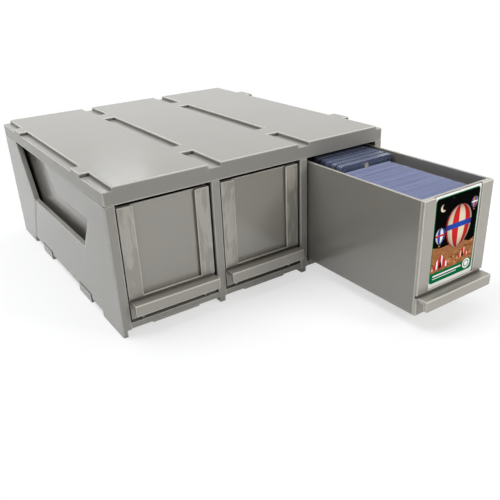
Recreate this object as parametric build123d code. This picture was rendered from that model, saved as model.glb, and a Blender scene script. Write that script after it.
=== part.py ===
from build123d import *
import os

# Three-drawer box for trading cards, stackable, in injection-moulded plastic.
# Millimetres, +Z up. Inside this file X = 0 is the middle of the box, Y is measured back
# from the front faces of the uprights, and Z = 0 is the underside of the feet. Each part is
# written moved by row_shift, which brings the middle of the whole object to Y = 0.

# ---------------------------------------------------------------- cabinet sizes
WIDTH = 325.0            # across the uprights
DEPTH = 334.3            # front of the uprights to the back
SEAM_Z = 130.6           # where the top panel sits on the uprights
SKIRT_H = 13.2           # front edge of the top panel, up to its low level
PAD_RISE = 4.0           # raised pads of the top panel above its low level
PAD_EDGE_R = 1.6         # rounding along the pads
LID_CORNER_R = 1.5       # vertical corners of the top panel
LID_FOOT_EDGE = 0.8      # broken edge along its lower rim
LID_WALL = 3.0           # thickness of the top panel
LEDGE_W = 8.9            # low strip along the left and right edges of the top panel
GROOVE_W = 13.6          # low strip over each divider, which takes the feet of another box

SKIN = 2.6               # outer wall of a side panel
POST_W = 9.2             # front face of a side panel
POST_T = 2.8             # thickness of the uprights' front and rear flanges
DIVIDER_W = 9.0          # front face of a divider
WEB_T = 2.6              # wall of a divider behind its front face
POST_CHAMFER = 0.7       # broken edges of the uprights' front faces

FOOT_H = 6.6             # height of the feet, which is the depth of the gaps between them
SIDE_FOOT_T = 4.8        # thickness of the side panels' feet
DIVIDER_FOOT_W = 6.2     # thickness of the dividers' feet
DIVIDER_FOOT_BACK = 1.0  # first foot behind the divider's front face
FOOT_CHAMFER = 1.1       # lead-in along the dividers' feet
FRONT_FOOT = 50.8        # length of the feet at the front and rear corners
SHORT_GAP = 33.5         # gap between a corner foot and its neighbour
MID_FOOT = 35.2          # length of the inner feet
BRIDGE_LEAD = 3.4        # a groove's bridge starts this far past the corner foot's end
BRIDGE_L = 24.5          # length of a bridge, which stands in the gap of a box stacked on top

WINDOW_LOW_Z = 66.7      # sill of the side window
WINDOW_STEP_Z = 104.0    # top of its lower, forward arm
WINDOW_SILL_FRONT = 78.1 # front end of that sill
WINDOW_SILL_REAR = 86.7  # its rear end, measured from the back
WINDOW_ARM_FRONT = 51.9  # front end of the forward arm's top
WINDOW_ARM_L = 92.3      # length of that top, as far as the rear arm
WINDOW_TOP_FRONT = 173.6 # front end of the rear arm, at the top panel
WINDOW_TOP_REAR = 47.3   # its rear end, measured from the back
WINDOW_CORNER_R = 3.0
RIM_DEPTH = 6.0          # how far the window's rim turns in
RIM_T = 2.2
FIELD_DEPTH = 0.8        # shallow field that the window stands in
FIELD_BLEND = 2.4        # width of the soft step around it
FIELD_FRONT = 77.5       # its front boundary at the feet
FIELD_TOP_FRONT = 48.5   # its front boundary at the top panel
FIELD_LEAD = 4.5         # between them it keeps this far ahead of the window

SILL_TOP_Z = 12.7        # upper face of the base panel
SILL_H = 5.8             # height of its front lip
SILL_SETBACK = 1.0       # front lip behind the uprights
BASE_T = 2.6
TAB_L = 50.7             # grip tab under each front lip
TAB_H = 1.7
TAB_SETBACK = 0.6
BASE_RIBS = 4            # stiffening ribs across each bay, under the floor
BASE_RIB_T = 2.0
RUNNER_H = 2.4           # ribs that the drawers run on
RUNNER_W = 3.0
RUNNER_X = 34.0          # each side of the middle of a bay

BACK_T = 2.8
HOOK_T = 2.2             # tongues that reach up behind the top panel's skirt
HOOK_H = 7.5
HOOK_L = 40.0
HOOK_ROOT = 9.0
TONGUE_T = 2.2           # tongues along the uprights' tops
TONGUE_H = 9.0
TONGUE_INSET = 12.0      # tongues start this far from the front and the back
LID_RIB_T = 2.0          # ribs under the top panel, each side of a tongue
LID_RIB_H = 7.0
SEAT_CLEAR = 0.3         # clearance between pieces of the cabinet

# ---------------------------------------------------------------- drawer sizes
BAYS = 3
SIDE_GAP = 2.0           # drawer to upright, each side
HEAD_GAP = 4.2           # drawer to top panel
RUN_CLEAR = 0.2          # drawer floor to its runners
DRAWER_SETBACK = 2.0     # closed drawer's face behind the uprights' face
REAR_GAP = 4.0           # closed drawer to back panel's tongues
WALL = 2.0
FLOOR_T = 2.4
TRAY_CORNER_R = 3.0
TRAY_FRONT_R = 0.8
TRAY_INNER_R = 2.0
OPEN_BY = 154.8          # the right drawer stands open by this much

FRAME_T = 3.4            # label frame on the drawer's face
FRAME_INSET = 0.1        # frame's edge to the drawer's side
LIP_T = 1.4              # front lips that hold the label card
LIP_OVER = 0.85          # overlap of each lip on the card
SLOT_CLEAR = 0.5         # card to the sides of its slot
CARD_FOOT_Z = 37.0       # underside of the label card
STRIP_OVER = 0.3         # bottom lip over the card's lower edge
FRAME_CORNER_R = 1.6     # inner top corners of the rails
FRAME_EDGE = 0.5         # broken edges of the frame's face
PULL_TOP_Z = 33.8        # flat top of the pull
PULL_H = 10.9
PULL_DEPTH = 11.0
PULL_T = 3.0
PULL_INSET = 1.0         # pull's end to the drawer's side
PULL_CORNER_R = 2.2      # lower corners of its front
PULL_EDGE = 0.7          # broken edge along the front of its top
CHANNEL_TOP = 2.4        # channel between the rails' feet and the pull, above the pull's top
CHANNEL_LOW = 1.0        # and below it
CHANNEL_DEPTH = 2.4      # how far it goes into the frame

# ---------------------------------------------------------------- contents of the right drawer
CARD_W = 63.5            # trading card
CARD_H = 88.9
CARD_T = 0.35
CARD_CORNER_R = 3.0
CARD_LIP_GAP = 0.1

SLEEVE_W = 76.2          # rigid sleeve
SLEEVE_H = 101.6
SLEEVE_T = 2.1
SLEEVE_SLOT_W = 69.0     # pocket for a card, open at the top
SLEEVE_SLOT_T = 0.9
SLEEVE_SLOT_FLOOR = 4.0
SLEEVE_GAP = 0.2         # between sleeves
SLEEVE_GROUPS = (16, 19, 12)
GROUP_GAP = 1.3          # between groups of sleeves
SLEEVE_LEFT_GAP = 1.1    # sleeves to the drawer's left wall
SLEEVE_FRONT_GAP = 1.0   # first sleeve to the front wall

HOLDERS = 5
HOLDER_W = 73.0          # magnetic holder, two clear halves
HOLDER_H = 107.5
HALF_T = 3.3
HOLDER_CORNER_R = 3.0
HOLDER_PITCH = 9.2
HOLDER_RIGHT_GAP = 2.0   # holders to the drawer's right wall
HOLDER_FRONT_GAP = 4.0   # first holder behind the last sleeve
POCKET_CLEAR = 0.4       # card's edges to the walls of its pocket
POCKET_PLAY = 0.15       # card's faces to the pocket's floors
MAGNET_D = 6.0
MAGNET_T = 2.2
MAGNET_DROP = 6.0        # magnet's centre below the holder's top
MAGNET_CLEAR = 0.2       # magnet in its bore, on the diameter
CONTENT_LIFT = 0.1       # contents to the drawer's floor

# ---------------------------------------------------------------- places worked out from them
lid_low_z = SEAM_Z + SKIRT_H
lid_top_z = lid_low_z + PAD_RISE
lid_hollow_z = lid_low_z - LID_WALL
bay_w = (WIDTH - 2 * POST_W - (BAYS - 1) * DIVIDER_W) / BAYS
bay_pitch = bay_w + DIVIDER_W
bay_x = [(i - (BAYS - 1) / 2) * bay_pitch for i in range(BAYS)]
divider_x = [x + bay_pitch / 2 for x in bay_x[:-1]]

foot_spans = [
    (0.0, FRONT_FOOT),
    (FRONT_FOOT + SHORT_GAP, FRONT_FOOT + SHORT_GAP + MID_FOOT),
]
foot_spans += [(DEPTH - b, DEPTH - a) for a, b in reversed(foot_spans)]
bridge_front = FRONT_FOOT + BRIDGE_LEAD
bridge_rear = bridge_front + BRIDGE_L
trough_spans = [
    (0.0, bridge_front),
    (bridge_rear, DEPTH - bridge_rear),
    (DEPTH - bridge_front, DEPTH),
]

sill_rear_y = DEPTH - WINDOW_SILL_REAR
arm_rear_y = WINDOW_ARM_FRONT + WINDOW_ARM_L
top_rear_y = DEPTH - WINDOW_TOP_REAR

base_under_z = SILL_TOP_Z - BASE_T
lip_low_z = SILL_TOP_Z - SILL_H
runner_top_z = SILL_TOP_Z + RUNNER_H
inner_back_y = DEPTH - BACK_T - SEAT_CLEAR
hook_y = DEPTH - LID_WALL - SEAT_CLEAR - HOOK_T

drawer_w = bay_w - 2 * SIDE_GAP
drawer_low_z = runner_top_z + RUN_CLEAR
drawer_top_z = SEAM_Z - HEAD_GAP
drawer_floor_z = drawer_low_z + FLOOR_T
tray_front_y = DRAWER_SETBACK + FRAME_T
tray_back_y = hook_y - REAR_GAP
frame_w = drawer_w - 2 * FRAME_INSET
label_w = CARD_W - 2 * LIP_OVER
slot_w = CARD_W + 2 * SLOT_CLEAR
label_low_z = CARD_FOOT_Z + STRIP_OVER

NEAR = 0.01              # tolerance for picking edges by their place

row_shift = -(DEPTH + DRAWER_SETBACK - OPEN_BY - PULL_DEPTH) / 2


# ---------------------------------------------------------------- helpers
def block(x0, x1, y0, y1, z0, z1):
    """A box between two corners."""
    return Pos((x0 + x1) / 2, (y0 + y1) / 2, (z0 + z1) / 2) * Box(x1 - x0, y1 - y0, z1 - z0)


def side_sketch(points, x):
    """A closed outline given as (y, z) points, on the plane at x, facing +X."""
    plane = Plane(origin=(x, 0, 0), x_dir=(0, 1, 0), z_dir=(1, 0, 0))
    return plane * make_face(Polyline(*points, close=True))


def mirrored(part):
    """The same piece for the other side of the box."""
    return mirror(part, about=Plane.YZ)


def export(name, part):
    """Writes one named part in the shared frame."""
    export_step(Pos(0, row_shift, 0) * part, "parts/" + name + ".step")


# ---------------------------------------------------------------- top panel
def top_panel():
    """Hollow lid with three raised pads, broken by grooves that take another box's feet."""
    lid = block(-WIDTH / 2, WIDTH / 2, 0, DEPTH, SEAM_Z, lid_top_z)
    lid = fillet(lid.edges().filter_by(Axis.Z), LID_CORNER_R)
    lid = chamfer(lid.faces().sort_by(Axis.Z)[0].edges(), LID_FOOT_EDGE)
    lows = [(x - GROOVE_W / 2, x + GROOVE_W / 2) for x in divider_x]
    over = 2 * LID_CORNER_R
    edge = WIDTH / 2
    lows += [(-edge - over, -edge + LEDGE_W), (edge - LEDGE_W, edge + over)]
    for x0, x1 in lows:
        for y0, y1 in trough_spans:
            y_front = y0 - (over if y0 == 0 else 0)
            y_rear = y1 + (over if y1 == DEPTH else 0)
            lid -= block(x0, x1, y_front, y_rear, lid_low_z, lid_top_z + over)
    top_face = lid.faces().filter_by(Axis.Z).sort_by(Axis.Z)[-1]
    lid = fillet(top_face.edges(), PAD_EDGE_R)
    lid -= block(-edge + LID_WALL, edge - LID_WALL, LID_WALL, DEPTH - LID_WALL, SEAM_Z, lid_hollow_z)
    pad_edges = [-edge + LEDGE_W]
    for x in divider_x:
        pad_edges += [x - GROOVE_W / 2, x + GROOVE_W / 2]
    pad_edges += [edge - LEDGE_W]
    for x0, x1 in zip(pad_edges[0::2], pad_edges[1::2]):
        lid -= block(x0 + LID_WALL, x1 - LID_WALL, LID_WALL, DEPTH - LID_WALL,
                     lid_hollow_z, lid_hollow_z + PAD_RISE)
    rib_x = TONGUE_T / 2 + SEAT_CLEAR + LID_RIB_T / 2
    for x in divider_x:
        for side in (-rib_x, rib_x):
            lid += block(x + side - LID_RIB_T / 2, x + side + LID_RIB_T / 2,
                         LID_WALL, DEPTH - LID_WALL, lid_hollow_z - LID_RIB_H, lid_hollow_z)
    return lid


# ---------------------------------------------------------------- side panels
panel_outline = [(0, FOOT_H), (DEPTH, FOOT_H), (DEPTH, SEAM_Z), (0, SEAM_Z)]


def window_points():
    """The window is open to the top panel behind, and runs forward below in a lower arm."""
    over = SEAM_Z - WINDOW_STEP_Z
    front_lean = (WINDOW_TOP_FRONT - arm_rear_y) / (SEAM_Z - WINDOW_STEP_Z)
    rear_lean = (top_rear_y - sill_rear_y) / (SEAM_Z - WINDOW_LOW_Z)
    return [
        (WINDOW_SILL_FRONT, WINDOW_LOW_Z),
        (sill_rear_y, WINDOW_LOW_Z),
        (top_rear_y + rear_lean * over, SEAM_Z + over),
        (WINDOW_TOP_FRONT + front_lean * over, SEAM_Z + over),
        (arm_rear_y, WINDOW_STEP_Z),
        (WINDOW_ARM_FRONT, WINDOW_STEP_Z),
    ]


def left_side_panel():
    """Wall with turned-in edges, a rimmed window, a shallow field and four feet."""
    x_out = -WIDTH / 2
    panel = extrude(side_sketch(panel_outline, x_out), POST_W)
    hollow = [(POST_T, base_under_z), (DEPTH - POST_T, base_under_z),
              (DEPTH - POST_T, SEAM_Z - POST_T), (POST_T, SEAM_Z - POST_T)]
    panel -= extrude(side_sketch(hollow, x_out + SKIN), POST_W)

    window = side_sketch(window_points(), x_out)
    window = fillet(window.vertices(), WINDOW_CORNER_R)
    rim = extrude(offset(window, RIM_T), RIM_DEPTH)
    panel += rim & extrude(side_sketch(panel_outline, x_out), POST_W)
    panel -= extrude(window, POST_W, both=True)

    beyond = 2 * FIELD_BLEND
    rear_lean = (sill_rear_y - (DEPTH - FRONT_FOOT)) / (WINDOW_LOW_Z - FOOT_H)
    rise = (WINDOW_STEP_Z - WINDOW_LOW_Z) / (WINDOW_SILL_FRONT - WINDOW_ARM_FRONT)
    lead_y = WINDOW_SILL_FRONT - FIELD_LEAD
    field = side_sketch([
        (FIELD_FRONT, FOOT_H - beyond),
        (DEPTH - FRONT_FOOT - rear_lean * beyond, FOOT_H - beyond),
        (sill_rear_y, WINDOW_LOW_Z),
        (top_rear_y + beyond, SEAM_Z + beyond),
        (FIELD_TOP_FRONT, SEAM_Z + beyond),
        (FIELD_TOP_FRONT, WINDOW_LOW_Z + rise * (lead_y - FIELD_TOP_FRONT)),
        (FIELD_FRONT, WINDOW_LOW_Z + rise * (lead_y - FIELD_FRONT)),
    ], x_out)
    inner = Pos(FIELD_DEPTH, 0, 0) * offset(field, -FIELD_BLEND, kind=Kind.INTERSECTION)
    panel -= loft([field.face(), inner.face()])

    for y0, y1 in foot_spans:
        panel += block(x_out, x_out + SIDE_FOOT_T, y0, y1, 0, base_under_z)
    panel = chamfer(panel.edges().filter_by(Axis.Z).group_by(Axis.Y)[0].sort_by(Axis.X)[0], POST_CHAMFER)
    tongue_x = x_out + LID_WALL + SEAT_CLEAR
    rim_y = WINDOW_TOP_FRONT - 2 * RIM_T
    rear_y = top_rear_y + 2 * RIM_T
    for y0, y1 in ((TONGUE_INSET, rim_y), (rear_y, DEPTH - TONGUE_INSET)):
        panel += block(tongue_x, tongue_x + TONGUE_T, y0, y1, SEAM_Z - POST_T, SEAM_Z + TONGUE_H)
    return panel


# ---------------------------------------------------------------- dividers
def divider(x):
    """Wall between two bays, with a wide front face and feet that pass through the base."""
    half = DIVIDER_W / 2
    post = block(x - half, x + half, 0, POST_T, FOOT_H, SEAM_Z)
    post = chamfer(post.faces().sort_by(Axis.Y)[0].edges(), POST_CHAMFER)
    rear = block(x - half, x + half, inner_back_y - POST_T, inner_back_y, SILL_TOP_Z, SEAM_Z)
    web = block(x - WEB_T / 2, x + WEB_T / 2, POST_CHAMFER, inner_back_y, SILL_TOP_Z, SEAM_Z)
    piece = post + web + rear
    for y0, y1 in foot_spans:
        y_front = max(y0, DIVIDER_FOOT_BACK)
        y_rear = min(y1, inner_back_y)
        foot = block(x - DIVIDER_FOOT_W / 2, x + DIVIDER_FOOT_W / 2, y_front, y_rear, 0, SILL_TOP_Z)
        piece += chamfer(foot.faces().sort_by(Axis.Z)[0].edges(), FOOT_CHAMFER)
    piece += block(x - TONGUE_T / 2, x + TONGUE_T / 2, TONGUE_INSET, DEPTH - TONGUE_INSET,
                   SEAM_Z, SEAM_Z + TONGUE_H)
    return piece


# ---------------------------------------------------------------- base panel
def base_panel():
    """Floor of the cabinet: front lip in each bay, grip tabs, runners, slots for the feet."""
    edge = WIDTH / 2 - SKIN - SEAT_CLEAR
    front_y = POST_T + SEAT_CLEAR
    base = block(-edge, edge, front_y, inner_back_y, base_under_z, SILL_TOP_Z)
    lip_w = bay_w - 2 * SEAT_CLEAR
    for x in bay_x:
        x0, x1 = x - lip_w / 2, x + lip_w / 2
        base += block(x0, x1, SILL_SETBACK, front_y + BASE_T, base_under_z, SILL_TOP_Z)
        base += block(x0, x1, SILL_SETBACK, SILL_SETBACK + BASE_T, lip_low_z, SILL_TOP_Z)
        tab_y = SILL_SETBACK + TAB_SETBACK
        base += block(x - TAB_L / 2, x + TAB_L / 2, tab_y, SILL_SETBACK + BASE_T,
                      lip_low_z - TAB_H, SILL_TOP_Z)
        rear_lip_y = inner_back_y - BASE_T
        base += block(x0, x1, rear_lip_y, inner_back_y, lip_low_z, SILL_TOP_Z)
        rib_pitch = (rear_lip_y - SILL_SETBACK) / (BASE_RIBS + 1)
        for i in range(BASE_RIBS):
            rib_y = SILL_SETBACK + (i + 1) * rib_pitch
            base += block(x0, x1, rib_y, rib_y + BASE_RIB_T, lip_low_z, base_under_z)
        for side in (-RUNNER_X, RUNNER_X):
            base += block(x + side - RUNNER_W / 2, x + side + RUNNER_W / 2, front_y,
                          hook_y - SEAT_CLEAR, SILL_TOP_Z, runner_top_z)
    slot = DIVIDER_FOOT_W / 2 + SEAT_CLEAR
    for x in divider_x:
        for y0, y1 in foot_spans:
            base -= block(x - slot, x + slot, y0 - SEAT_CLEAR, y1 + SEAT_CLEAR, 0, runner_top_z)
    return base


# ---------------------------------------------------------------- back panel
def back_panel():
    """Plate between the side panels' rear flanges, with tongues behind the lid's skirt."""
    edge = WIDTH / 2 - POST_W - SEAT_CLEAR
    plate = block(-edge, edge, DEPTH - BACK_T, DEPTH, lip_low_z, SEAM_Z)
    for x in bay_x:
        x0, x1 = x - HOOK_L / 2, x + HOOK_L / 2
        plate += block(x0, x1, hook_y, DEPTH - BACK_T, SEAM_Z - HOOK_ROOT, SEAM_Z - SEAT_CLEAR)
        plate += block(x0, x1, hook_y, hook_y + HOOK_T, SEAM_Z - HOOK_ROOT, SEAM_Z + HOOK_H)
    return plate


# ---------------------------------------------------------------- drawers
def drawer_tray(x, y):
    """Open box of one drawer, pulled out by -y."""
    half = drawer_w / 2
    outer = block(-half, half, tray_front_y, tray_back_y, drawer_low_z, drawer_top_z)
    uprights = outer.edges().filter_by(Axis.Z).group_by(Axis.Y)
    outer = fillet(uprights[-1], TRAY_CORNER_R)
    outer = fillet(outer.edges().filter_by(Axis.Z).group_by(Axis.Y)[0], TRAY_FRONT_R)
    inner = block(-half + WALL, half - WALL, tray_front_y + WALL, tray_back_y - WALL,
                  drawer_floor_z, drawer_top_z + FLOOR_T)
    inner = fillet(inner.edges().filter_by(Axis.Z), TRAY_INNER_R)
    return Pos(x, y, 0) * (outer - inner)


def label_frame(x, y):
    """Frame on the drawer's face: two rails with card slots, a bottom lip, a channel and a pull."""
    half = frame_w / 2
    face_y = DRAWER_SETBACK
    frame = block(-half, half, face_y, tray_front_y, drawer_low_z, drawer_top_z)
    opening = block(-label_w / 2, label_w / 2, face_y, tray_front_y, label_low_z, drawer_top_z)
    frame -= opening
    inner_top = frame.edges().filter_by(Axis.Y).group_by(Axis.Z)[-1].sort_by(Axis.X)[1:3]
    frame = fillet(inner_top, FRAME_CORNER_R)
    frame = chamfer(frame.faces().sort_by(Axis.Y)[0].edges(), FRAME_EDGE)
    frame -= block(-slot_w / 2, slot_w / 2, face_y + LIP_T, tray_front_y,
                   CARD_FOOT_Z - CONTENT_LIFT, drawer_top_z)

    pull_half = drawer_w / 2 - PULL_INSET
    front_y = face_y - PULL_DEPTH
    pull_low_z = PULL_TOP_Z - PULL_H
    pull = block(-pull_half, pull_half, front_y, face_y, pull_low_z, PULL_TOP_Z)
    lower = pull.edges().filter_by(Axis.Y).group_by(Axis.Z)[0]
    pull = fillet(lower, PULL_CORNER_R)
    top_front = pull.edges().filter_by(Axis.X).group_by(Axis.Z)[-1].sort_by(Axis.Y)[0]
    pull = chamfer(top_front, PULL_EDGE)
    pull -= block(-pull_half, pull_half, front_y + PULL_T, face_y, pull_low_z, PULL_TOP_Z - PULL_T)

    channel_y = face_y + CHANNEL_DEPTH
    channel = block(-half, half, face_y, channel_y, PULL_TOP_Z - CHANNEL_LOW, PULL_TOP_Z + CHANNEL_TOP)
    piece = frame + pull - channel
    at_face = piece.edges().filter_by(Axis.X).filter_by_position(Axis.Y, face_y - NEAR, face_y + NEAR)
    back_edge = at_face.filter_by_position(Axis.Z, PULL_TOP_Z - NEAR, PULL_TOP_Z + NEAR)
    return Pos(x, y, 0) * chamfer(back_edge, FRAME_EDGE)


# ---------------------------------------------------------------- contents
def rounded_plate(w, h, t, r):
    """A plate with round corners, standing on Z = 0 and facing -Y, its back at Y = t."""
    plate = Rectangle(w, h)
    plate = fillet(plate.vertices(), r)
    plane = Plane(origin=(0, 0, h / 2), x_dir=(1, 0, 0), z_dir=(0, -1, 0))
    return Pos(0, t, 0) * extrude(plane * plate, t)


def label_card(x, y):
    """Card standing in the slots of the label frame."""
    card = rounded_plate(CARD_W, CARD_H, CARD_T, CARD_CORNER_R)
    return Pos(x, y + DRAWER_SETBACK + LIP_T + CARD_LIP_GAP, CARD_FOOT_Z) * card


def sleeve_fronts():
    """Y of each sleeve's front, in the closed drawer."""
    fronts = []
    y = tray_front_y + WALL + SLEEVE_FRONT_GAP
    for count in SLEEVE_GROUPS:
        for _ in range(count):
            fronts.append(y)
            y += SLEEVE_T + SLEEVE_GAP
        y += GROUP_GAP
    return fronts


def rigid_sleeve():
    """Flat pocket, open at the top, standing on Z = 0 with its front at Y = 0."""
    wall = (SLEEVE_T - SLEEVE_SLOT_T) / 2
    sleeve = block(-SLEEVE_W / 2, SLEEVE_W / 2, 0, SLEEVE_T, 0, SLEEVE_H)
    return sleeve - block(-SLEEVE_SLOT_W / 2, SLEEVE_SLOT_W / 2, wall, SLEEVE_T - wall,
                          SLEEVE_SLOT_FLOOR, SLEEVE_H)


def rigid_sleeves(x, y):
    """Rigid sleeves standing in a row behind the drawer's front wall."""
    middle_x = x - drawer_w / 2 + WALL + SLEEVE_LEFT_GAP + SLEEVE_W / 2
    z0 = drawer_floor_z + CONTENT_LIFT
    sleeve = rigid_sleeve()
    return [Pos(middle_x, y + front, z0) * sleeve for front in sleeve_fronts()]


def holder_places(x, y):
    """Where each magnetic holder's front face stands, at the middle of its lower edge."""
    holder_x = x + drawer_w / 2 - WALL - HOLDER_RIGHT_GAP - HOLDER_W / 2
    first = sleeve_fronts()[-1] + SLEEVE_T + HOLDER_FRONT_GAP
    z0 = drawer_floor_z + CONTENT_LIFT
    return [Pos(holder_x, y + first + i * HOLDER_PITCH, z0) for i in range(HOLDERS)]


magnet_z = HOLDER_H - MAGNET_DROP
card_z = (magnet_z - MAGNET_D / 2 - CARD_H) / 2


def disc(d, y0, y1, z):
    """A disc across the holder's thickness."""
    return Pos(0, (y0 + y1) / 2, z) * Rot(90, 0, 0) * Cylinder(d / 2, y1 - y0)


def holder_half(back):
    """One clear half: its pocket takes half the card, and a magnet sits above it."""
    half = rounded_plate(HOLDER_W, HOLDER_H, HALF_T, HOLDER_CORNER_R)
    pocket_t = CARD_T / 2 + POCKET_PLAY
    pocket_w = CARD_W / 2 + POCKET_CLEAR
    half -= block(-pocket_w, pocket_w, HALF_T - pocket_t, HALF_T,
                  card_z - POCKET_CLEAR, card_z + CARD_H + POCKET_CLEAR)
    half -= disc(MAGNET_D + MAGNET_CLEAR, HALF_T - MAGNET_T, HALF_T, magnet_z)
    if back:
        half = Pos(0, HALF_T, 0) * mirror(Pos(0, -HALF_T, 0) * half, about=Plane.XZ)
    return half


def holder_pieces(x, y):
    """The four kinds of piece in the holders, each a list with one per holder or half."""
    places = holder_places(x, y)
    front = holder_half(False)
    back = holder_half(True)
    card = Pos(0, HALF_T - CARD_T / 2, card_z) * rounded_plate(CARD_W, CARD_H, CARD_T, CARD_CORNER_R)
    magnets = [disc(MAGNET_D, HALF_T - MAGNET_T, HALF_T, magnet_z),
               disc(MAGNET_D, HALF_T, HALF_T + MAGNET_T, magnet_z)]
    return {
        "holder_fronts": [place * front for place in places],
        "holder_backs": [place * back for place in places],
        "holder_cards": [place * card for place in places],
        "holder_magnets": [place * magnet for place in places for magnet in magnets],
    }


# ---------------------------------------------------------------- write every part
os.makedirs("parts", exist_ok=True)

export("top_panel", top_panel())
left_panel = left_side_panel()
export("left_side_panel", left_panel)
export("right_side_panel", mirrored(left_panel))
for side, x in zip(("left", "right"), divider_x):
    export(side + "_divider", divider(x))
export("base_panel", base_panel())
export("back_panel", back_panel())

for side, x, y in zip(("left", "middle", "right"), bay_x, (0.0, 0.0, -OPEN_BY)):
    export(side + "_drawer_tray", drawer_tray(x, y))
    export(side + "_label_frame", label_frame(x, y))

right_x = bay_x[-1]
export("label_card", label_card(right_x, -OPEN_BY))
export("rigid_sleeves", Compound(rigid_sleeves(right_x, -OPEN_BY)))
for name, pieces in holder_pieces(right_x, -OPEN_BY).items():
    export(name, Compound(pieces))
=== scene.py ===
import math
import random

import bpy
from bpy.props import FloatProperty, FloatVectorProperty, PointerProperty
from mathutils import Matrix, Vector


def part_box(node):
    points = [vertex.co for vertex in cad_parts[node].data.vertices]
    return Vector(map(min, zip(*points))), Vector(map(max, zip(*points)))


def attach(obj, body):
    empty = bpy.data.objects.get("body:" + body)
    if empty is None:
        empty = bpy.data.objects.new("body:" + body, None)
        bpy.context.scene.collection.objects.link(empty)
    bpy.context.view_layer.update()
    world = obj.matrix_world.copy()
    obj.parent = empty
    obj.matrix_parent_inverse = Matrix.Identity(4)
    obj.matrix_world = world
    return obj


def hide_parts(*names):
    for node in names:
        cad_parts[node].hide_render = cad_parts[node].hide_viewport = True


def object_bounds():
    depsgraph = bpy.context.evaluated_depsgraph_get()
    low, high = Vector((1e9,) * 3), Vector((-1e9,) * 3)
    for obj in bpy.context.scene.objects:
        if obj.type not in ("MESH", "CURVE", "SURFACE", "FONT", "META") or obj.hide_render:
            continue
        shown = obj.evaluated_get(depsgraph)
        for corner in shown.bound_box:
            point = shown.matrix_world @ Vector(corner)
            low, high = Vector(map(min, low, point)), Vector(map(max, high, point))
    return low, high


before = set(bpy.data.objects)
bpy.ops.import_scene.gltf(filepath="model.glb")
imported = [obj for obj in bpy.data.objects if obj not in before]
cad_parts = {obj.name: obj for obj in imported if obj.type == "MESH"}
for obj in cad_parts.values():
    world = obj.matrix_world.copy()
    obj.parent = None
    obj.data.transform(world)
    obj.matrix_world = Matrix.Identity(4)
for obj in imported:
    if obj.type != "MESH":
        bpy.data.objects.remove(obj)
cad_low, cad_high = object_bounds()

bl_info = {
    "name": "Card drawer box",
    "version": (1, 0, 0),
    "blender": (4, 5, 0),
    "location": "View3D > Sidebar > Card box",
    "description": "Finishes, sleeves, holders, label and studio of a three-drawer card box",
    "category": "Object",
}

MM = 0.001
GRAIN_HEIGHT = 0.002 * MM

# The top panel, the cabinet's seventh, has a finish of its own.
CABINET_NODES = [
    "left_side_panel", "right_side_panel", "left_divider", "right_divider", "base_panel",
    "back_panel",
]
DRAWERS = ["left", "middle", "right"]


# ---------------------------------------------------------------- settings
class PlasticSettings(bpy.types.PropertyGroup):
    shell_colour: FloatVectorProperty(
        name="Cabinet", description="Colour of the cabinet's moulded panels",
        default=(0.305, 0.297, 0.272), size=3, min=0, max=1, subtype="COLOR")
    drawer_colour: FloatVectorProperty(
        name="Drawers", description="Colour of the drawers and their label frames",
        default=(0.292, 0.277, 0.242), size=3, min=0, max=1, subtype="COLOR")
    roughness: FloatProperty(
        name="Roughness", description="How matt the moulded surface is",
        default=0.17, min=0, max=1, subtype="FACTOR")
    # Painted shade: the drawers' side walls, the faces across X, are painted darker than their
    # fronts.
    painted_wall_shade: FloatProperty(
        name="Wall shade", description="Tone of the drawers' side walls against their fronts",
        default=0.68, min=0, max=1, subtype="FACTOR")
    # Painted light: the label frames are a lighter copy of the drawer plastic.
    frame_painted_light: FloatProperty(
        name="Frame tone", description="Tone of the label frames against the trays",
        default=1.12, min=0)
    shell_sheen: FloatProperty(
        name="Cabinet sheen", description="Strength of the cabinet's reflections",
        default=0.40, min=0, max=1, subtype="FACTOR")
    lid_sheen: FloatProperty(
        name="Lid sheen", description="Strength of the top panel's reflections",
        default=0.10, min=0, max=1, subtype="FACTOR")
    drawer_sheen: FloatProperty(
        name="Drawer sheen", description="Strength of the drawers' reflections",
        default=0.95, min=0, max=1, subtype="FACTOR")
    edge_radius: FloatProperty(
        name="Edge radius", description="Softness of the moulded edges",
        default=1.5 * MM, min=0, unit="LENGTH")
    lid_edge_radius: FloatProperty(
        name="Lid edge radius", description="Softness of the edges of the top panel",
        default=1.8 * MM, min=0, unit="LENGTH")
    wave_length: FloatProperty(
        name="Wave length", description="Spacing of the shallow waves left by the mould",
        default=24 * MM, min=MM, unit="LENGTH")
    wave_height: FloatProperty(
        name="Wave height", description="Height of those waves",
        default=0.16 * MM, min=0, unit="LENGTH")
    # Painted shade: how far from an inner corner the plastic is painted darker.
    corner_shade_reach: FloatProperty(
        name="Crevice reach", description="How far from an inner corner the plastic dulls",
        default=4 * MM, min=0, unit="LENGTH")
    # Painted reflections: strength of the swirls of paler and deeper tone on the drawer fronts'
    # frames.
    swirl_reflection: FloatProperty(
        name="Flow marks", description="Strength of the swirls on the drawer fronts' frames",
        default=0.36, min=0, max=1, subtype="FACTOR")
    grain: FloatProperty(
        name="Grain", description="Spacing of the fine surface grain",
        default=0.9 * MM, min=0.05 * MM, unit="LENGTH")


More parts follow.
